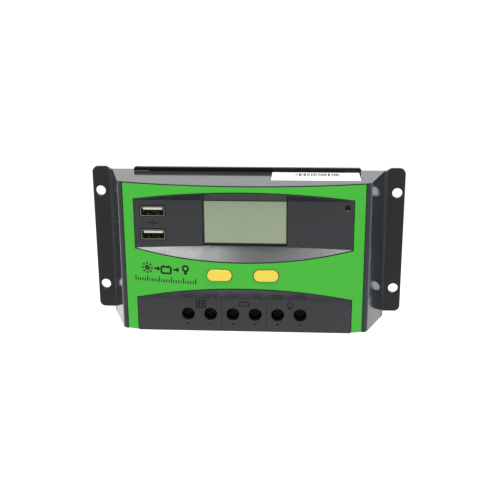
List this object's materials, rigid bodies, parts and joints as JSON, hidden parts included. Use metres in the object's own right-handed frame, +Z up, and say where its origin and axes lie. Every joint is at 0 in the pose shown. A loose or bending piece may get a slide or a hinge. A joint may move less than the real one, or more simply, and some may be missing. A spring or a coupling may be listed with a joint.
{
  "type": "solar charge controller",
  "caption": "Wall-mounted solar charge controller with a bowed front, display, push buttons, USB sockets and screw terminals along its lower edge.",
  "frame": {"origin": "centre of the back plate's rear face, on the wall", "axes": "+X to the right as seen from the front, +Y into the wall, +Z up; the front of the case points to -Y"},
  "size_m": [0.188, 0.0472, 0.0939],
  "materials": {
    "steel_plate": "satin black powder coat",
    "case_abs": "moulded, satin",
    "trim_green": "smooth, semi-gloss",
    "label_vinyl": "matt print film",
    "spreader_alloy": "black anodised",
    "thermal_pad": "matt silicone",
    "board_laminate": "solder mask, satin",
    "black_resin": "moulded, matt",
    "pale_resin": "moulded, satin",
    "nickel_shell": "nickel plated",
    "lcd_cell": "polariser film, satin",
    "button_abs": "moulded, satin",
    "zinc_steel": "bright zinc plate",
    "brass_bar": "rolled",
    "copper_part": "enamelled copper",
    "capacitor_sleeve": "shrunk sleeve"
  },
  "bodies": {
    "case": {"back_plate": "steel_plate", "front_shell": "case_abs", "terminal_block": "case_abs", "face_trim": "trim_green", "rating_label": "label_vinyl", "heat_spreader": "spreader_alloy", "insulating_pad": "thermal_pad", "main_board": "board_laminate", "display_board": "board_laminate", "usb_board": "board_laminate", "display_header": "black_resin", "usb_header": "black_resin", "microcontroller": "black_resin", "status_lamp": "black_resin", "switch_body_left": "black_resin", "switch_body_right": "black_resin", "mosfet_1": "black_resin", "mosfet_2": "black_resin", "mosfet_3": "black_resin", "mosfet_4": "black_resin", "lcd_tray": "black_resin", "usb_tongue_upper": "pale_resin", "usb_tongue_lower": "pale_resin", "usb_shell_upper": "nickel_shell", "usb_shell_lower": "nickel_shell", "lcd_glass": "lcd_cell", "cover_screw_1": "zinc_steel", "cover_screw_2": "zinc_steel", "cover_screw_3": "zinc_steel", "cover_screw_4": "zinc_steel", "board_screw_1": "zinc_steel", "board_screw_2": "zinc_steel", "board_screw_3": "zinc_steel", "board_screw_4": "zinc_steel", "contact_bar_1": "brass_bar", "contact_bar_2": "brass_bar", "contact_bar_3": "brass_bar", "contact_bar_4": "brass_bar", "contact_bar_5": "brass_bar", "contact_bar_6": "brass_bar", "choke": "copper_part", "current_shunt": "copper_part", "capacitor_1": "capacitor_sleeve", "capacitor_2": "capacitor_sleeve"},
    "button_left": {"button_cap_left": "button_abs", "switch_plunger_left": "pale_resin"},
    "button_right": {"button_cap_right": "button_abs", "switch_plunger_right": "pale_resin"},
    "screw_1": {"terminal_screw_1": "zinc_steel"},
    "cage_1": {"clamp_cage_1": "zinc_steel"},
    "screw_2": {"terminal_screw_2": "zinc_steel"},
    "cage_2": {"clamp_cage_2": "zinc_steel"},
    "screw_3": {"terminal_screw_3": "zinc_steel"},
    "cage_3": {"clamp_cage_3": "zinc_steel"},
    "screw_4": {"terminal_screw_4": "zinc_steel"},
    "cage_4": {"clamp_cage_4": "zinc_steel"},
    "screw_5": {"terminal_screw_5": "zinc_steel"},
    "cage_5": {"clamp_cage_5": "zinc_steel"},
    "screw_6": {"terminal_screw_6": "zinc_steel"},
    "cage_6": {"clamp_cage_6": "zinc_steel"}
  },
  "joints": [
    {"name": "button_left_press", "type": "slide", "parent": "case", "child": "button_left", "axis": [0, 1, 0], "range_m": [0, 0.0005], "stiffness_N_per_m": 150, "springref_m": -0.008},
    {"name": "button_right_press", "type": "slide", "parent": "case", "child": "button_right", "axis": [0, 1, 0], "range_m": [0, 0.0005], "stiffness_N_per_m": 150, "springref_m": -0.008},
    {"name": "screw_1_turn", "type": "hinge", "parent": "case", "child": "screw_1", "pos_m": [-0.03263, -0.0359, -0.0347], "axis": [0, 1, 0], "range_deg": [0, 2160]},
    {"name": "cage_1_rise", "type": "slide", "parent": "case", "child": "cage_1", "axis": [0, -1, 0], "range_m": [0, 0.00421]},
    {"name": "screw_2_turn", "type": "hinge", "parent": "case", "child": "screw_2", "pos_m": [-0.01957, -0.0359, -0.0347], "axis": [0, 1, 0], "range_deg": [0, 2160]},
    {"name": "cage_2_rise", "type": "slide", "parent": "case", "child": "cage_2", "axis": [0, -1, 0], "range_m": [0, 0.00421]},
    {"name": "screw_3_turn", "type": "hinge", "parent": "case", "child": "screw_3", "pos_m": [-0.00653, -0.0359, -0.0347], "axis": [0, 1, 0], "range_deg": [0, 2160]},
    {"name": "cage_3_rise", "type": "slide", "parent": "case", "child": "cage_3", "axis": [0, -1, 0], "range_m": [0, 0.00421]},
    {"name": "screw_4_turn", "type": "hinge", "parent": "case", "child": "screw_4", "pos_m": [0.00653, -0.0359, -0.0347], "axis": [0, 1, 0], "range_deg": [0, 2160]},
    {"name": "cage_4_rise", "type": "slide", "parent": "case", "child": "cage_4", "axis": [0, -1, 0], "range_m": [0, 0.00421]},
    {"name": "screw_5_turn", "type": "hinge", "parent": "case", "child": "screw_5", "pos_m": [0.01957, -0.0359, -0.0347], "axis": [0, 1, 0], "range_deg": [0, 2160]},
    {"name": "cage_5_rise", "type": "slide", "parent": "case", "child": "cage_5", "axis": [0, -1, 0], "range_m": [0, 0.00421]},
    {"name": "screw_6_turn", "type": "hinge", "parent": "case", "child": "screw_6", "pos_m": [0.03263, -0.0359, -0.0347], "axis": [0, 1, 0], "range_deg": [0, 2160]},
    {"name": "cage_6_rise", "type": "slide", "parent": "case", "child": "cage_6", "axis": [0, -1, 0], "range_m": [0, 0.00421]}
  ],
  "couplings": [
    {"joint": "cage_1_rise", "follows": "screw_1_turn", "m_per_rad": 0.00011141},
    {"joint": "cage_2_rise", "follows": "screw_2_turn", "m_per_rad": 0.00011141},
    {"joint": "cage_3_rise", "follows": "screw_3_turn", "m_per_rad": 0.00011141},
    {"joint": "cage_4_rise", "follows": "screw_4_turn", "m_per_rad": 0.00011141},
    {"joint": "cage_5_rise", "follows": "screw_5_turn", "m_per_rad": 0.00011141},
    {"joint": "cage_6_rise", "follows": "screw_6_turn", "m_per_rad": 0.00011141}
  ]
}
